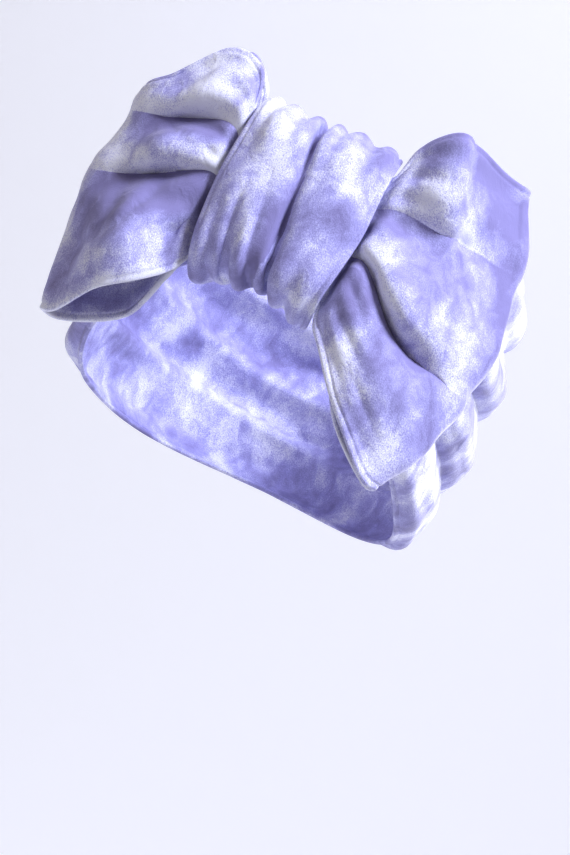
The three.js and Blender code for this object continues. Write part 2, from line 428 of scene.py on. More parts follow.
@dataclass(frozen=True)
class BowPlane:
    """The bow's own plane on the forehead: along is +X, up leans back, and out points off the head."""

    head: HeadForm = HeadForm()
    latitude: float = 28.0
    lean: float = 20.0
    halvings: int = 30

    @property
    def origin(self) -> Array:
        """Middle of the bow on the head."""
        return self.head.point(np.array(0.0), np.array(self.latitude))

    @property
    def axes(self) -> Array:
        """Along, up and out as rows."""
        sin, cos = math.sin(math.radians(self.lean)), math.cos(math.radians(self.lean))
        return np.array([[1, 0, 0], [0, sin, cos], [0, -cos, sin]])

    def point(self, along: Array, up: Array, out: Array) -> Array:
        """Points at distances along, up and out of the plane."""
        return self.origin + join(along, up, out).astype(float) @ self.axes

    def places(self, points: Array) -> Array:
        """Distances along, up and out of points."""
        return (points - self.origin) @ self.axes.T

    def head_out(self, along: Array, up: Array) -> Array:
        """Finds how far out of the plane the head's surface lies, by halving the span that holds it.

        Args:
            along: distances along the plane.
            up: distances up the plane.

        Returns:
            Distances out, below 0 where the head curves away.
        """
        low = np.full(np.shape(along), -self.head.half_length)
        high = np.full(np.shape(along), self.head.half_length / 2)
        for _ in range(self.halvings):
            middle = (low + high) / 2
            inside = self.head.reach(self.point(along, up, middle)) < 1
            low, high = np.where(inside, middle, low), np.where(inside, high, middle)
        return low


def linear(hex_colour: str) -> tuple[float, float, float, float]:
    """Turns an sRGB hex colour such as "#A9A2E0" into the linear colour that the nodes use."""
    parts = (int(hex_colour[i : i + 2], 16) / 255 for i in (1, 3, 5))
    return (*(c / 12.92 if c <= 0.04045 else ((c + 0.055) / 1.055) ** 2.4 for c in parts), 1.0)


def add_node(
    tree: bpy.types.NodeTree, kind: str, settings: dict | None = None, links: dict | None = None
) -> bpy.types.Node:
    """Adds a node with its settings and links.

    Args:
        tree: the material's node tree.
        kind: the node's Blender type.
        settings: attributes by name, or input values by "input:NAME" or "input:NUMBER".
        links: output sockets by the input's name or number.

    Returns:
        The new node.
    """
    node = tree.nodes.new(kind)
    for name, value in (settings or {}).items():
        if name.startswith("input:"):
            key = name.removeprefix("input:")
            node.inputs[int(key) if key.isdigit() else key].default_value = value
        else:
            setattr(node, name, value)
    for name, socket in (links or {}).items():
        tree.links.new(socket, node.inputs[name])
    return node


def add_mesh(name: str, bm: bmesh.types.BMesh) -> bpy.types.Object:
    """Makes a smooth object of a mesh and adds it to the scene.

    Args:
        name: the name of the object and its mesh.
        bm: the mesh, which is freed.

    Returns:
        The new object.
    """
    mesh = bpy.data.meshes.new(name)
    bm.to_mesh(mesh)
    bm.free()
    mesh.shade_smooth()
    made = bpy.data.objects.new(name, mesh)
    bpy.context.collection.objects.link(made)
    return made


@dataclass(frozen=True)
class CrushedVelvet:
    """Crushed velvet: a knitted polyester pile, pressed so that its nap lies a different way in each patch.

    The pile that leans away looks deep violet, the pile that leans towards the light looks silver, and
    single tufts make a fine grain along the edges of the patches. Patches, creases and the piece's own
    lean, which holds painted sheen and painted shade, add their shares to the pile's base lean, and the
    colours stand at the stops along it.
    """

    shade: str = "#7A75A6"  # the pile seen end on
    middle: str = "#9D9BD2"
    silver: str = "#DFE0F0"  # the pile lying flat to the light
    sheen: str = "#EDEBFF"  # light scattered by the tips of the pile
    stops: Triple = (0.12, 0.45, 0.85)
    patch: float = 24.0  # size of the pressed patches, in mm
    crease: float = 6.72  # size of the creases in them, in mm
    grain: float = 0.42  # size of the tufts, in mm, drawn coarser than real so that it shows
    upright: float = 0.7  # scale of the pattern upwards; under 1 makes patches longer
    base: float = -0.62
    patch_share: float = 1.5
    crease_share: float = 0.6
    nap_and_light_share: float = 0.4
    speckle: float = 1.4
    rough: Pair = (0.8, 0.5)  # where the pile leans away, and where it lies flat
    bump: float = 0.5
    crush_depth: float = 1.2  # in mm, like the next
    tuft_depth: float = 0.25

    def material(self, name: str, shift: float) -> bpy.types.Material:
        """Makes the velvet for one piece.

        Args:
            name: the material's name.
            shift: moves the patches, so that no two pieces show the same ones, in metres.

        Returns:
            The material.
        """
        made = bpy.data.materials.new(name)
        made.use_nodes = True
        tree = made.node_tree
        tree.nodes.clear()
        coords = add_node(tree, "ShaderNodeTexCoord").outputs["Object"]
        moved = {"input:Location": (shift, 0.3 * shift, -shift), "input:Scale": (1.0, 1.0, self.upright)}
        place = add_node(tree, "ShaderNodeMapping", moved, {"Vector": coords}).outputs[0]
        patches = self._noise(tree, place, self.patch, detail=2.0, distortion=0.5)
        creases = self._noise(tree, place, self.crease, detail=2.0, distortion=0.8)
        grain = self._noise(tree, place, self.grain, detail=1.0, distortion=0.0)
        # The piece's own lean: painted sheen and painted shade, laid by the way the cloth faces and where
        # it lies.
        nap_and_painted_light = add_node(tree, "ShaderNodeAttribute", {"attribute_name": "nap_and_painted_light"}).outputs["Fac"]
        parts = ((patches, self.patch_share), (creases, self.crease_share), (nap_and_painted_light, self.nap_and_light_share))
        lean = self._sum(tree, self.base, *parts)
        # Single tufts show most where the pile lies flat.
        sparse = self._sum(tree, 0.1, (lean, 1.0))
        tuft = self._sum(tree, -0.5, (grain, 1.0))
        product = add_node(tree, "ShaderNodeMath", {"operation": "MULTIPLY"}, {0: tuft, 1: sparse})
        tone = self._sum(tree, 0.0, (lean, 1.0), (product.outputs[0], self.speckle))
        ramp = add_node(tree, "ShaderNodeValToRGB", links={"Fac": tone})
        deep, between, flat = self.stops
        ramp.color_ramp.elements[0].position = deep
        ramp.color_ramp.elements[0].color = linear(self.shade)
        ramp.color_ramp.elements[1].position = flat
        ramp.color_ramp.elements[1].color = linear(self.silver)
        ramp.color_ramp.elements.new(between).color = linear(self.middle)
        gloss = {"input:To Min": self.rough[0], "input:To Max": self.rough[1]}
        rough = add_node(tree, "ShaderNodeMapRange", gloss, {"Value": tone}).outputs[0]
        pressed = {"input:Strength": self.bump, "input:Distance": self.crush_depth * MM}
        crush = add_node(tree, "ShaderNodeBump", pressed, {"Height": creases}).outputs[0]
        standing = {"input:Strength": self.bump, "input:Distance": self.tuft_depth * MM}
        pile = add_node(tree, "ShaderNodeBump", standing, {"Height": grain, "Normal": crush}).outputs[0]
        velvet = add_node(
            tree,
            "ShaderNodeBsdfPrincipled",
            {
                "input:Metallic": 0.0,
                "input:IOR": 1.45,
                "input:Specular IOR Level": 0.25,
                "input:Sheen Weight": 0.22,
                "input:Sheen Roughness": 0.4,
                "input:Sheen Tint": linear(self.sheen),
            },
            {"Base Color": ramp.outputs["Color"], "Roughness": rough, "Normal": pile},
        )
        add_node(tree, "ShaderNodeOutputMaterial", links={"Surface": velvet.outputs[0]})
        return made

    @staticmethod
    def _noise(
        tree: bpy.types.NodeTree, place: Socket, size: float, detail: float, distortion: float
    ) -> Socket:
        """Noise whose lumps are about the given size in millimetres, as values from 0 to 1."""
        settings = {"input:Scale": 1 / (size * MM), "input:Detail": detail, "input:Distortion": distortion}
        return add_node(tree, "ShaderNodeTexNoise", settings, {"Vector": place}).outputs["Fac"]

    @staticmethod
    def _sum(tree: bpy.types.NodeTree, base: float, *parts: tuple[Socket, float]) -> Socket:
        """Adds sockets, each times its own share, to a base value.

        Args:
            tree: the material's node tree.
            base: the value that they are added to.
            parts: sockets with their shares.

        Returns:
            The sum's socket.
        """
        total = None
        for socket, share in parts:
            settings = {"operation": "MULTIPLY_ADD", "input:1": share, "input:2": base}
            node = add_node(tree, "ShaderNodeMath", settings, {0: socket})
            if total is not None:
                tree.links.new(total, node.inputs[2])
            total = node.outputs[0]
        return total


@dataclass(frozen=True)
class RolledHem:
    """The rolled and stitched edge of a strip: shares of the wall's full thickness, and sizes in mm.

    The edge has a rounded nose and is rolled, then comes a stitched groove, then the plain cloth. The
    mesh has rows at row_steps from the edge.
    """

    roll: float = 2.2
    groove_at: float = 3.0
    groove_width: float = 0.6
    plain: float = 0.8
    groove_depth: float = 0.36
    nose: float = 1.2
    thinnest: float = 0.12
    row_steps: tuple[float, ...] = (0.0, 0.08, 0.3, 0.65, 1.1, 1.6, 2.0, 2.4, 2.7, 3.0, 3.3, 3.7, 4.3, 5.2)

    def thickness(self, edge_distance: Array) -> Array:
        """Works out the cloth's thickness beside a free edge.

        Args:
            edge_distance: distances from the nearest free edge.

        Returns:
            Shares of the full thickness.
        """
        rolled = self.plain + (1 - self.plain) * (1 - ease(edge_distance / self.roll))
        stitched = self.groove_depth * bell(edge_distance - self.groove_at, self.groove_width)
        rounded = np.sqrt(1 - (1 - np.minimum(edge_distance / self.nose, 1)) ** 2)
        return np.clip((rolled - stitched) * rounded, 0.0, 1.0)


@dataclass
class ClothRing:
    """A strip of velvet sewn into a ring, built as rows across by columns round."""

    node: str  # the solid that the piece stands for
    around: int  # columns round the ring
    across: int  # rows from edge to edge, apart from those along the hems
    wall: float  # full thickness of the cloth at its hems, in mm
    flat: Pair  # width and length of the cut, in metres
    held: Held
    rests_on: tuple[str, ...]
    shift: float  # moves the velvet's patches, in metres
    hem: RolledHem = RolledHem()
    velvet: CrushedVelvet = CrushedVelvet()
    smoothing: int = 2  # passes over the finished grid
    outward: int = -1  # 1 where columns, rows and outside turn the right-hand way
    calm: Ramp = Ramp(0, 0.05, 0.35)  # wrinkles left near a hem, by the share of the width

    def surface(self, u: Array, s: Array) -> Array:
        """Middle of the cloth in millimetres at places u round and s across."""
        raise NotImplementedError

    def relief(self, grid: Array, u: Array, s: Array) -> Array:
        """Fine wrinkles in millimetres along the cloth's outward side."""
        raise NotImplementedError

    def nap_and_painted_light(self, facing: Array, u: Array, s: Array) -> Array:
        """Lean of the pile's colour by the way the cloth faces and its place, painted sheen and painted
        shade included: -1 looks deep, 1 looks silver.
        """
        raise NotImplementedError

    def beside_hems(self, s: Array) -> Array:
        """Share of the wrinkles that each row keeps, as a column."""
        return self.calm.at(np.minimum(s, 1 - s))[:, None]

    def rows(self, u: Array) -> Array:
        """Places of the rows across: even steps over the folds, and closer ones along both hems.

        Args:
            u: the columns' places round the ring.

        Returns:
            Places from 0 to 1.
        """
        fine = np.linspace(0, 1, ROW_SAMPLES)
        steps = np.linalg.norm(np.diff(self.surface(u[::COLUMN_STEP], fine), axis=0), axis=-1).mean(axis=1)
        down = np.concatenate([[0.0], np.cumsum(steps)])
        hem = np.array(self.hem.row_steps)
        body = np.linspace(hem[-1], down[-1] - hem[-1], self.across + 1)
        places = np.concatenate([hem[:-1], body, down[-1] - hem[-2::-1]])
        return np.interp(places, down, fine)

    def build(self) -> bpy.types.Object:
        """Returns:
            The finished object.
        """
        u = np.arange(self.around) / self.around
        s = self.rows(u)
        grid = self.surface(u, s)
        grid = grid + self.outward * grid_normals(grid) * self.relief(grid, u, s)[..., None]
        piece = self._mesh(grid, s, self.nap_and_painted_light(self.outward * grid_normals(grid), u, s))
        self._finish(piece)
        LOG.info("%s: %d by %d, wall %.1f mm", piece.name, self.around, len(s), self.wall)
        return piece

    def _mesh(self, grid: Array, s: Array, nap_and_painted_light: Array) -> bpy.types.Object:
        """Shapes a flat grid into the ring and sews it shut.

        Args:
            grid: rows across by columns round, in millimetres.
            s: the rows' places across the strip.
            nap_and_painted_light: lean of the pile's colour, painted sheen and painted shade included, on
                the same grid.

        Returns:
            The new object, with its thickness weights and its lean of colour, painted light included.
        """
        steps = np.linalg.norm(np.diff(grid, axis=0), axis=-1)
        down = np.concatenate([np.zeros((1, grid.shape[1])), np.cumsum(steps, axis=0)])
        weights = self.hem.thickness(np.minimum(down, down[-1] - down))
        last = len(s) - 1
        bm = bmesh.new()
        bmesh.ops.create_grid(bm, x_segments=self.around, y_segments=last, size=0.5, calc_uvs=False)
        # The cloth's own map holds metres of the flat cut.
        uv = bm.loops.layers.uv.new("cloth")
        for face in bm.faces:
            for loop in face.loops:
                x, y, _ = loop.vert.co
                loop[uv].uv = ((x + 0.5) * self.flat[1], s[round((y + 0.5) * last)] * self.flat[0])
        lean = bm.verts.layers.float.new("nap_and_painted_light")
        group = bm.verts.layers.deform.verify()
        edge_rows = {0, last}
        inner = []
        for vert in bm.verts:
            column = round((vert.co.x + 0.5) * self.around) % self.around
            row = round((vert.co.y + 0.5) * last)
            vert.co = Vector(grid[row, column] * MM)
            vert[lean] = nap_and_painted_light[row, column]
            vert[group][0] = weights[row, column]
            if row not in edge_rows:
                inner.append(vert)
        bmesh.ops.remove_doubles(bm, verts=bm.verts, dist=WELD)
        inner = [vert for vert in inner if vert.is_valid]
        axes = {"use_axis_x": True, "use_axis_y": True, "use_axis_z": True}
        for _ in range(self.smoothing):
            bmesh.ops.smooth_vert(bm, verts=inner, factor=0.5, **axes)
        piece = add_mesh(f"velvet_{self.node}", bm)
        piece.vertex_groups.new(name="hem")
        return piece

    def _finish(self, piece: bpy.types.Object) -> None:
        """Args:
            piece: the ring of cloth.
        """
        wall = piece.modifiers.new("wall", "SOLIDIFY")
        wall.thickness = self.wall * MM
        wall.offset = 0.0
        wall.vertex_group = "hem"
        wall.thickness_vertex_group = self.hem.thinnest
        piece.data.materials.append(self.velvet.material(f"crushed_velvet_{self.node}", self.shift))
        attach(piece, "root")
        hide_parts(self.node)


@dataclass
class HeadBand(ClothRing):
    """The wide gathered band round the head.

    Its folds droop by degrees of latitude for each millimetre of height, and their limits drift as it
    goes round. Wrinkles begin beside the bow. Its colour holds painted light: silver where it faces up,
    and painted shade on the undersides of its folds.
    """

    node: str = "head_band"
    around: int = 360
    across: int = 100
    wall: float = 2.4
    flat: Pair = (0.165, 0.63)
    held: Held = Held.GATHERED
    rests_on: tuple[str, ...] = ("centre_wrap",)
    shift: float = 0.0
    outward: int = 1
    calm: Ramp = Ramp(0, 0.06)
    head: HeadForm = HeadForm()
    droop: float = 0.3
    sharpness: float = 1.2
    drift_step: float = 80.0
    wrinkled: Ramp = Ramp(25, 40)
    # The pleats' pattern is short round the band, so that they run along it, and sways to meet itself.
    pleat_round: float = 123.2
    pleat_across: float = 190.0
    pleat_sway: float = 18.0
    pleats: SoftWaves = SoftWaves(15, 5, 0.5)
    dents: SoftWaves = SoftWaves(38, 6, 0.8)
    # Painted light: the band turns silver where it faces up, and deeper, a painted shade, where it faces
    # down.
    level_nap: float = 0.15
    upper_painted_light: float = 0.25

    def ridges(self, turn: Array, s: Array) -> Array:
        """Works out the height of the band's folds.

        Args:
            turn: degrees round from the front.
            s: places across, from the lower edge to the upper.

        Returns:
            Heights from 0 in a valley to 1 on the tallest ridge.
        """
        heights = np.zeros(np.broadcast(turn, s).shape)
        start, edge = np.zeros_like(heights), 0.0
        for i, fold in enumerate(BAND_FOLDS):
            edge += fold.share
            end = edge + fold.drift * np.sin(np.radians(2 * turn + self.drift_step * i))
            t = (s - start) / (end - start)
            ridge = fold.height * np.sin(math.pi * np.clip(t, 0, 1)) ** self.sharpness
            heights = np.where((t >= 0) & (t <= 1), ridge, heights)
            start = np.broadcast_to(end, heights.shape)
        return heights

    def surface(self, u: Array, s: Array) -> Array:
        """Lays the band's middle over the head.

        Args:
            u: places round, from the back.
            s: places across, from the lower edge to the upper.

        Returns:
            Points in millimetres, as rows across by columns round.
        """
        turn = (u[None, :] - 0.5) * 360
        lower, upper, fold, lift = (
            table_curve(BAND_SECTIONS, name, np.abs(turn)) for name in ("lower", "upper", "fold", "lift")
        )
        across = s[:, None]
        height = fold * self.ridges(turn, across)
        latitude = lower + (upper - lower) * across - self.droop * height
        point = self.head.point(np.broadcast_to(turn, latitude.shape), latitude)
        return point + self.head.normal(point) * (lift + self.wall / 2 + height)[..., None]

    def relief(self, grid: Array, u: Array, s: Array) -> Array:
        """Adds soft dents and the small pleats that run along the folds.

        Args:
            grid: the band's middle.
            u: places round.
            s: places across.

        Returns:
            Heights in millimetres on the same grid.
        """
        turn = np.abs(u[None, :] - 0.5) * 360
        along = join(u[None, :] * self.pleat_round, s[:, None] * self.pleat_across, 0.0)
        seam = np.sin(2 * math.pi * u)[None, :, None] * np.array([self.pleat_sway, 0, 0])
        wrinkles = self.pleats.heights(along + seam) + self.dents.heights(grid)
        return self.wrinkled.at(turn) * self.beside_hems(s) * wrinkles

    def nap_and_painted_light(self, facing: Array, u: Array, s: Array) -> Array:
        """Paints light into the colour: silver where the band faces up, and painted shade on the underside
        of a fold.
        """
        return self.level_nap + self.upper_painted_light * facing[..., 2]


@dataclass
class Bow(ClothRing):
    """One wide strip made into a left and a right loop, pinched in the middle.

    The wrap holds it at the core and the knot, and the loops spread from the neck on. Lobes swell,
    overhang the fold below, and open out towards the rims. Painted sheen makes each lobe deep in colour
    on top and silver lower down.
    """

    node: str = "bow"
    around: int = 300
    across: int = 118
    wall: float = 2.6
    flat: Pair = (0.13, 0.43)
    held: Held = Held.FOLDED
    rests_on: tuple[str, ...] = ("head_band",)
    shift: float = 0.41
    plane: BowPlane = BowPlane()
    core: Pinch = Pinch(0.0, 16.0, 10.5)
    knot: Pinch = Pinch(31.0, 15.0, 5.5)
    neck: Pinch = Pinch(38.0, 16.0, 1.0)
    core_swell: float = 0.5
    knot_swell: float = 0.6
    back_swell: float = 2.0
    overhang: float = 0.14
    # Near the wrap lobes swell outwards more than sideways.
    sideways: Ramp = Ramp(60, 15, 0.3)
    opening: float = 14.0
    open_sag: float = 1.4
    open_blunt: float = 1.6
    # Room between the band's folds and the bow's middle, and how gently the bow is eased off them.
    clearance: float = 5.6
    soft_push: float = 3.0
    # Share of the ring on each side of the front middle that has the dents, and pulls from the wrap.
    front: float = 0.225
    wrinkled: Ramp = Ramp(0, 10)
    pulls: int = 9
    pull_sway: float = 0.25
    pull_turns: float = 7.0
    pull_depth: float = 1.1
    pull_length: float = 20.0
    pull_drift: SoftWaves = SoftWaves(60, 3, 0.12)
    dents: tuple[SoftWaves, ...] = (SoftWaves(34, 11, 0.75), SoftWaves(15, 12, 0.22))
    flap_end: FlapEnd = FlapEnd(66.0, 18.0, 55.0, 52.0, 6.5, edge=2.0, fade=15.0, begins=Ramp(-0.15, 0.25))
    # The pile's colour: painted sheen down a lobe, past the flap, on the back layers, at rims, and a
    # painted highlight on the lower hem (right, left).
    turns_silver: Ramp = Ramp(0.25, 0.5)
    past_flap: Ramp = Ramp(0.16, 0.025)
    above_main: Ramp = Ramp(0.22, 0.2)
    past_flap_nap: float = 0.9
    back_nap: float = 0.5
    rim_nap: Pair = (-0.35, 0.6)
    rim_width: float = 0.08
    # Painted highlight along the lower hem, and its width.
    hem_painted_highlight: Pair = (0.35, 0.9)
    hem_width: float = 0.022
    downward_painted_sheen: float = 0.5

    def fold_points(self, right: FoldLine, left: FoldLine) -> Array:
        """Points of one fold line: out over the right loop, back behind it, and the same on the left."""
        front, back = ((self.core.along, right.core_up, out) for out in self.core[1:])
        return self.plane.point(*np.array([front, *self._side(right, 1), back, *self._side(left, -1)]).T)

    def _side(self, line: FoldLine, sign: int) -> list[Triple]:
        """Lists one loop's points in the order of the ring.

        Args:
            line: the fold line on that loop.
            sign: 1 on the right and -1 on the left.

        Returns:
            Distances along, up and out.
        """
        knot, neck = self.knot, self.neck
        return [
            (sign * (knot.along - line.tuck), line.knot_up, knot.front_out - line.tuck),
            (sign * (neck.along - line.tuck), line.neck_up, neck.front_out),
            (sign * line.mid_along, line.mid_up, line.mid_out),
            (sign * (line.rim_along - line.fold), line.rim_up + line.rise, line.rim_out + line.fold),
            (sign * line.rim_along, line.rim_up, line.rim_out),
            (sign * (line.rim_along - line.fold), line.rim_up, line.rim_out - line.fold),
            (sign * line.back_along, line.back_up, line.back_out),
            (sign * neck.along, line.neck_up, neck.back_out),
            (sign * knot.along, line.knot_up, knot.back_out),
        ][::sign]

    def swell(self, right: Lobe, left: Lobe, u: Array) -> Array:
        """Works out how far a lobe swells.

        Args:
            right: the lobe on the right loop.
            left: the same lobe on the left loop.
            u: places round the ring.

        Returns:
            Swells in millimetres.
        """
        ring = [self.core_swell]
        for lobe, step in ((right, 1), (left, -1)):
            side = [self.knot_swell, lobe.neck, lobe.mid, lobe.rim, lobe.rim, lobe.rim]
            side += [self.back_swell, self.back_swell, self.knot_swell]
            ring += side[::step] + ([self.core_swell] if step > 0 else [])
        values = np.array(ring)
        place = u * len(values)
        span = np.floor(place).astype(int) % len(values)
        share = ease(place - np.floor(place))
        return values[span] * (1 - share) + values[(span + 1) % len(values)] * share

    def surface(self, u: Array, s: Array) -> Array:
        """Lays the bow's middle over its fold lines.

        Args:
            u: places round the ring, from the front middle.
            s: places across, from the top edge to the bottom edge.

        Returns:
            Points in millimetres, as rows across by columns round.
        """
        lines = [closed_curve(self.fold_points(*pair), u) for pair in zip(RIGHT_LOOP, LEFT_LOOP)]
        lobes = len(lines) - 1
        beyond = np.abs(self.plane.places(lines[1])[:, 0])
        rows = []
        for place in s:
            i = min(lobes - 1, int(place * lobes))
            t = place * lobes - i
            across = lines[i + 1] - lines[i]
            both = lines[i] + lines[i + 1]
            along = np.roll(both, -1, axis=0) - np.roll(both, 1, axis=0)
            out = unit(np.cross(across, along))
            out[:, 0] *= self.sideways.at(beyond)
            out = unit(out)
            sag, blunt, open_at = (
                np.where(u < BACK_MIDDLE, getattr(RIGHT_LOBES[i], name), getattr(LEFT_LOBES[i], name))
                for name in ("sag", "blunt", "open_at")
            )
            opened = ease((beyond - open_at) / self.opening)
            sag = sag + (self.open_sag - sag) * opened
            blunt = blunt + (self.open_blunt - blunt) * opened
            full = self.swell(RIGHT_LOBES[i], LEFT_LOBES[i], u)
            rise = np.maximum(np.sin(math.pi * t**sag), 0) ** blunt
            slip = self.overhang * full * rise**2 * (1 - opened) if i < lobes - 1 else 0.0 * full
            rows.append(lines[i] + across * t + unit(across) * slip[:, None] + out * (full * rise)[:, None])
        return self.clear_of_band(np.array(rows))

    def clear_of_band(self, grid: Array) -> Array:
        """Moves points that are too close to the head out until they clear the band's folds.

        Args:
            grid: points in millimetres.

        Returns:
            The moved points.
        """
        head = self.plane.head
        foot = grid / head.reach(grid)[..., None]
        normal = head.normal(foot)
        height = ((grid - foot) * normal).sum(-1)
        at = np.abs(np.degrees(np.arctan2(grid[..., 0], -grid[..., 1])))
        lift, fold = (table_curve(BAND_SECTIONS, column, at) for column in ("lift", "fold"))
        short = lift + fold + self.clearance - height
        eased = np.maximum(0, short + self.soft_push) ** 2 / (4 * self.soft_push)
        return grid + normal * np.where(short > self.soft_push, short, eased)[..., None]

    def relief(self, grid: Array, u: Array, s: Array) -> Array:
        """Adds pulls that fan out from the wrap, soft dents, and the few deeper hollows of this bow.

        Args:
            grid: the bow's middle.
            u: places round.
            s: places across.

        Returns:
            Heights in millimetres on the same grid.
        """
        along, up, _ = np.moveaxis(self.plane.places(grid), -1, 0)
        beyond = np.maximum(0, np.abs(along) - self.knot.along)
        free = self.wrinkled.at(beyond)
        uneven = self.pulls * s + self.pull_sway * np.sin(self.pull_turns * s)
        strands = uneven[:, None] + self.pull_drift.heights(grid)
        pulls = np.sin(2 * math.pi * strands) * free * np.exp(-beyond / self.pull_length) * self.pull_depth
        dents = sum(waves.heights(grid) for waves in self.dents)
        on_front = ((u < self.front) | (u > 1 - self.front))[None, :]
        hollows = np.zeros_like(along)
        for dent in BOW_DENTS:
            turn = math.radians(dent.slope)
            x, y = along - dent.along, up - dent.up
            length = x * math.cos(turn) + y * math.sin(turn)
            width = y * math.cos(turn) - x * math.sin(turn)
            hollows += dent.depth * bell(length, dent.half_length) * bell(width, dent.half_width)
        own = (self.flap_step(along, up) - hollows) * on_front
        return self.beside_hems(s) * free * dents + pulls + own

    def flap_step(self, along: Array, up: Array) -> Array:
        """Shapes the end of the right loop's flap, where the cloth drops to the flat rim.

        Args:
            along: distances along the bow's plane.
            up: distances up it.

        Returns:
            Heights in millimetres, above 0 before the end and below 0 past it.
        """
        end = self.flap_end
        share = (up - end.foot_up) / (end.top_up - end.foot_up)
        past = along - (end.foot_along + (end.top_along - end.foot_along) * share)
        step = -np.tanh(past / end.edge) * np.exp(-np.abs(past) / end.fade)
        return end.height / 2 * step * end.begins.at(share)

    def nap_and_painted_light(self, facing: Array, u: Array, s: Array) -> Array:
        """Paints sheen and shade into the pile's colour: each lobe deep on top and silver lower down, and
        silver where it faces down.

        Args:
            facing: the cloth's outward normals.
            u: places round.
            s: places across.

        Returns:
            Leans on the same grid.
        """
        lobe = np.minimum(s * len(LEFT_LOBES), len(LEFT_LOBES) - 1e-6)
        index = lobe.astype(int)
        # Painted sheen and shade: each lobe runs from its upper lean on top to its lower lean further down.
        silver = self.turns_silver.at(lobe % 1.0)[:, None]
        on_right = u < BACK_MIDDLE
        lean = np.empty(facing.shape[:2])
        for on_side, lobes in ((on_right, RIGHT_LOBES), (~on_right, LEFT_LOBES)):
            upper = np.array([row.upper_painted_light for row in lobes])[index, None]
            lower = np.array([row.lower_painted_light for row in lobes])[index, None]
            lean[:, on_side] = upper + (lower - upper) * silver
        past_flap = self.past_flap.at(u) * (u < RIGHT_RIM) * (1 - self.above_main.at(s))[:, None]
        lean -= self.past_flap_nap * past_flap
        lean[:, np.abs(u - BACK_MIDDLE) < RIGHT_RIM] = self.back_nap
        inner = ease(np.minimum(np.abs(u - RIGHT_RIM), np.abs(u - LEFT_RIM)) / self.rim_width)
        rim = np.where(on_right, *self.rim_nap)
        hem = bell(1 - s, self.hem_width)[:, None] * np.where(on_right, *self.hem_painted_highlight)
        # Painted sheen: silver where the cloth faces down and deep where it faces up, plus a painted
        # highlight along the lower hem.
        return lean * inner + rim * (1 - inner) + hem - self.downward_painted_sheen * facing @ self.plane.axes[1]


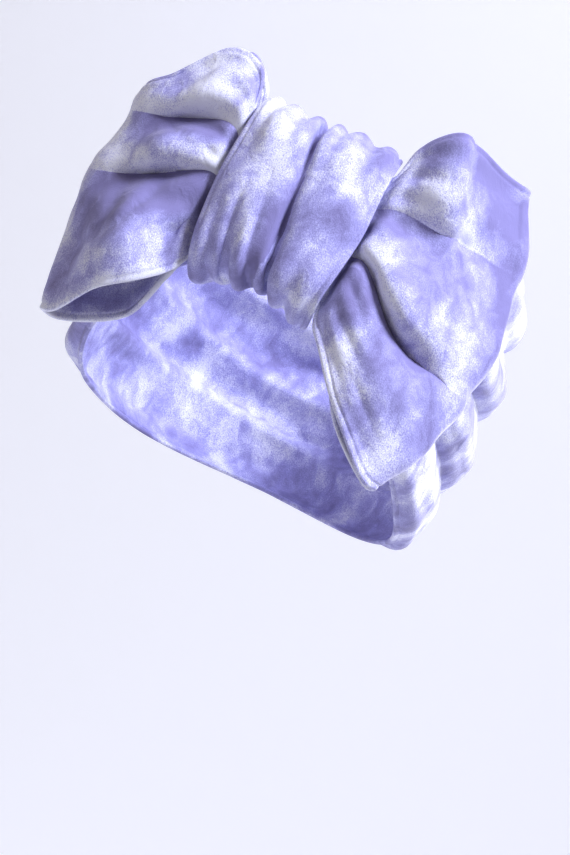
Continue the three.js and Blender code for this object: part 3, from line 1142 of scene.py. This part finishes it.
@dataclass
class CentreWrap(ClothRing):
    """The short ruched strip round the bow's middle and the band's front.

    A deep slanting fold splits it into two lobes, and the right one rolls over the fold. Its colour holds
    painted light: a painted highlight on top and painted shade beside the fold.
    """

    node: str = "centre_wrap"
    around: int = 220
    across: int = 100
    wall: float = 2.4
    flat: Pair = (0.066, 0.2)
    held: Held = Held.GATHERED
    rests_on: tuple[str, ...] = ("bow",)
    shift: float = 0.87
    calm: Ramp = Ramp(0, 0.08, 0.3)
    plane: BowPlane = BowPlane()
    gap: float = 0.7
    roll: float = 4.0
    gathers: int = 6
    fullness: float = 0.75
    # Height at which the lobes' swell would point straight up.
    tilt_up: float = 44.0
    front: Ramp = Ramp(2, 6)
    # The deep fold and the left lobe's grooves: shares of the width, depths, and heights where they grow.
    fold_shift: float = 0.015
    fold_width: float = 0.035
    fold_depth: Pair = (2.2, 2.3)
    fold_lower: Ramp = Ramp(12, -30)
    grooves: Pair = (0.38, 0.68)
    groove_depth: float = 1.6
    groove_lower: Ramp = Ramp(6, -22)
    # Pleats run up and down, and deepen away from the middle.
    ruched: Ramp = Ramp(14, 22, 0.12)
    pleat_across: float = 64.0
    pleat_stretch: float = 0.14
    pleats: SoftWaves = SoftWaves(8.0, 21, 0.75)
    dents: SoftWaves = SoftWaves(26, 22, 0.4)
    # The pile's colour: painted shade beside the fold, a painted highlight on top, and less of it where the
    # light makes it silver anyway.
    fold_shade_from: float = 0.04
    fold_shade_width: float = 0.1
    fold_painted_shade: float = 1.3
    above: Ramp = Ramp(-0.06, 0.16)
    right_share: float = 0.4
    top_painted_highlight: float = 0.9
    lit_from: float = 0.25
    lit_nap: float = 1.8

    def surface(self, u: Array, s: Array) -> Array:
        """Middle of the wrap: u goes round the ring, s from its left edge to its right edge."""
        stations = np.array([self._row(row, s) for row in WRAP_STATIONS])
        return np.swapaxes(closed_curve(stations, u), 0, 1)

    def _row(self, row: WrapStation, s: Array) -> Array:
        """Lays the wrap across at one station.

        Args:
            row: the station.
            s: places across.

        Returns:
            Points in millimetres.
        """
        side = 2 * s - 1
        along = side * row.half_width
        up = row.up + row.arch * (1 - side**2)
        if row.inside:
            out = self.plane.head_out(along, up) + self.gap + self.wall / 2
            return self.plane.point(along, up, out)
        share = np.where(s < row.split, s / row.split, (s - row.split) / (1 - row.split))
        lobe = np.sin(math.pi * share) ** self.fullness
        over = np.where(s > row.split, self.roll * lobe * (1 - side) ** 2, 0.0)
        gather = row.gather * np.sin(2 * math.pi * self.gathers * s)
        height = row.crown * (1 - side**2) + row.swell * lobe + gather
        tilt = math.pi / 2 * row.up / self.tilt_up
        out = row.out + height * math.cos(tilt)
        return self.plane.point(along - over, up + height * math.sin(tilt), out)

    def relief(self, grid: Array, u: Array, s: Array) -> Array:
        """Ruches the front: the deep fold between the lobes, and pleats that deepen to top and bottom.

        Args:
            grid: the wrap's middle.
            u: places round.
            s: places across.

        Returns:
            Heights in millimetres on the same grid.
        """
        _, up, out = np.moveaxis(self.plane.places(grid), -1, 0)
        across = np.broadcast_to(s[:, None], up.shape)
        split = np.interp(up, *SPLIT_UP)
        depth = self.fold_depth[0] + self.fold_depth[1] * self.fold_lower.at(up)
        fold = bell(across - split + self.fold_shift, self.fold_width) * depth
        grooves = sum(bell(across - at * split, self.fold_width) for at in self.grooves)
        grooves = grooves * self.groove_depth * self.groove_lower.at(up)
        pleats = self.pleats.heights(join(across * self.pleat_across, up * self.pleat_stretch, 0.0))
        wrinkles = self.beside_hems(s) * (self.ruched.at(np.abs(up)) * pleats + self.dents.heights(grid))
        return self.front.at(out) * (wrinkles - fold - grooves)

    def nap_and_painted_light(self, facing: Array, u: Array, s: Array) -> Array:
        """Paints light into the pile's colour: a painted highlight on the wrap's top, less on its right
        lobe, and painted shade on its left beside the fold.

        Args:
            facing: the cloth's outward normals.
            u: places round.
            s: places across.

        Returns:
            Leans on the same grid.
        """
        across = s[:, None]
        split = np.interp(np.minimum(u, 1 - u), *SPLIT_ROUND)[None, :]
        on_left = across < split
        # Painted shade: deep colour on the left lobe beside the deep fold.
        shade_beside_fold = bell(np.minimum(0, across - split + self.fold_shade_from), self.fold_shade_width) * on_left
        # Painted highlight: the wrap's upper part turns silver, less on its right lobe.
        above = self.above.at(np.where(u < 0.5, u, u - 1)) * np.where(on_left, 1.0, self.right_share)
        lit = np.maximum(0, facing @ self.plane.axes[1] - self.lit_from)
        return above * (self.top_painted_highlight - self.lit_nap * lit) - self.fold_painted_shade * shade_beside_fold


@dataclass(frozen=True)
class Studio:
    """Pale seamless studio, soft light from the upper right, and the camera of the photograph."""

    plane: BowPlane = BowPlane()
    azimuth: float = 11.5  # turn to the right of the bow, in degrees
    elevation: float = 10.0  # height above the horizon, in degrees
    roll: float = 23.5  # turn about the camera's own axis, in degrees
    lens: float = 100.0  # focal length, in mm
    sensor: float = 36.0  # taller side of the sensor, in mm
    distance: float = 950.0  # from the camera to the wrap's front, in mm
    picture: tuple[int, int] = (570, 855)  # width and height, in pixels
    knot_at: Pair = (288.0, 207.0)  # the wrap's middle in the picture, in pixels
    knot_out: float = 22.0  # how far the wrap's front stands off the head, in mm
    backdrop_colour: str = "#F3F4FB"
    glow: float = 0.22  # keeps the paper pale from every side
    floor: float = -1.3  # height of the paper, in metres
    reach: float = 60.0  # how far floor and wall go, in metres
    corner: float = 1.2  # where the floor begins to bend up, in metres
    bend: float = 1.6  # radius of that bend, in metres
    bend_rows: int = 23
    sky_colour: str = "#FFF0DF"
    sky_strength: float = 0.18

    def axes(self) -> tuple[Vector, Vector, Vector]:
        """Works out how the camera is turned.

        Returns:
            The picture's right and up directions, and the way back to the camera.
        """
        turn, rise, roll = (math.radians(x) for x in (self.azimuth, self.elevation, self.roll))
        level = Vector((math.cos(turn), math.sin(turn), 0))
        back = Vector((math.cos(rise) * math.sin(turn), -math.cos(rise) * math.cos(turn), math.sin(rise)))
        upright = back.cross(level)
        right = level * math.cos(roll) + upright * math.sin(roll)
        up = upright * math.cos(roll) - level * math.sin(roll)
        return right, up, back

    def add_camera(self) -> None:
        """Adds the camera and makes it the scene's own."""
        right, up, back = self.axes()
        width, height = self.picture
        per_pixel = self.sensor / (self.lens * height)
        aside = (self.knot_at[0] - width / 2) * per_pixel * self.distance
        above = (self.knot_at[1] - height / 2) * per_pixel * self.distance
        knot = Vector(self.plane.point(np.array(0.0), np.array(0.0), np.array(self.knot_out)))
        place = (knot + back * self.distance - right * aside + up * above) * MM
        data = bpy.data.cameras.new("photo_camera")
        data.lens = self.lens
        data.sensor_width = self.sensor
        camera = bpy.data.objects.new("photo_camera", data)
        turned = Matrix((right, up, back)).transposed().to_4x4()
        camera.matrix_world = Matrix.Translation(place) @ turned
        bpy.context.collection.objects.link(camera)
        bpy.context.scene.camera = camera

    def spot(self, place: Triple) -> Vector:
        """The point at metres right, up and towards the camera from the bow."""
        right, up, back = self.axes()
        return Vector(self.plane.origin) * MM + right * place[0] + up * place[1] + back * place[2]

    def add_light(self, panel: Panel) -> None:
        """Adds a soft light panel.

        Args:
            panel: its row of the table.
        """
        data = bpy.data.lights.new(panel.name, "AREA")
        data.shape = "DISK"
        data.size = panel.size
        data.energy = panel.watts
        data.color = linear(panel.colour)[:3]
        light = bpy.data.objects.new(panel.name, data)
        light.location = self.spot(panel.place)
        facing = self.spot(panel.aim) - light.location
        light.rotation_euler = facing.to_track_quat("-Z", "Y").to_euler()
        light.visible_camera = False
        bpy.context.collection.objects.link(light)

    def add_backdrop(self) -> None:
        """Adds a pale, softly glowing paper floor that sweeps up into a wall behind the headband."""
        turn = np.linspace(0, math.pi / 2, self.bend_rows)
        sweep = self.corner + self.bend * np.sin(turn)
        far = np.concatenate([[-self.reach], sweep, [self.corner + self.bend]])
        high = self.floor + np.concatenate([[0.0], self.bend * (1 - np.cos(turn)), [self.reach]])
        steps = len(far) - 1
        bm = bmesh.new()
        bmesh.ops.create_grid(bm, x_segments=1, y_segments=steps, size=self.reach)
        for vert in bm.verts:
            row = round((vert.co.y / self.reach + 1) / 2 * steps)
            vert.co = Vector((vert.co.x, far[row], high[row]))
        bmesh.ops.recalc_face_normals(bm, faces=bm.faces)
        backdrop = add_mesh("backdrop", bm)
        paper = bpy.data.materials.new("matt_studio_paper")
        paper.use_nodes = True
        shader = paper.node_tree.nodes["Principled BSDF"]
        shader.inputs["Base Color"].default_value = linear(self.backdrop_colour)
        shader.inputs["Roughness"].default_value = 0.95
        shader.inputs["Emission Color"].default_value = linear(self.backdrop_colour)
        shader.inputs["Emission Strength"].default_value = self.glow
        backdrop.data.materials.append(paper)

    def build(self) -> None:
        """Adds the camera, the backdrop, the light panels and the sky's soft light."""
        self.add_camera()
        self.add_backdrop()
        for panel in PANELS:
            self.add_light(panel)
        world = bpy.data.worlds.new("studio_sky")
        world.use_nodes = True
        sky = world.node_tree.nodes["Background"]
        sky.inputs["Color"].default_value = linear(self.sky_colour)
        sky.inputs["Strength"].default_value = self.sky_strength
        scene = bpy.context.scene
        scene.world = world
        scene.view_settings.view_transform = "Standard"


def main() -> None:
    """Loads the frame, builds the headband and its studio, and logs how many pieces there are."""
    logging.basicConfig(level=logging.INFO, format="%(name)s: %(message)s")
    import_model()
    Studio().build()
    pieces = [part.build() for part in (HeadBand(), Bow(), CentreWrap())]
    bpy.context.view_layer.update()
    LOG.info("%d pieces", len(pieces))


if __name__ == "__main__":
    main()
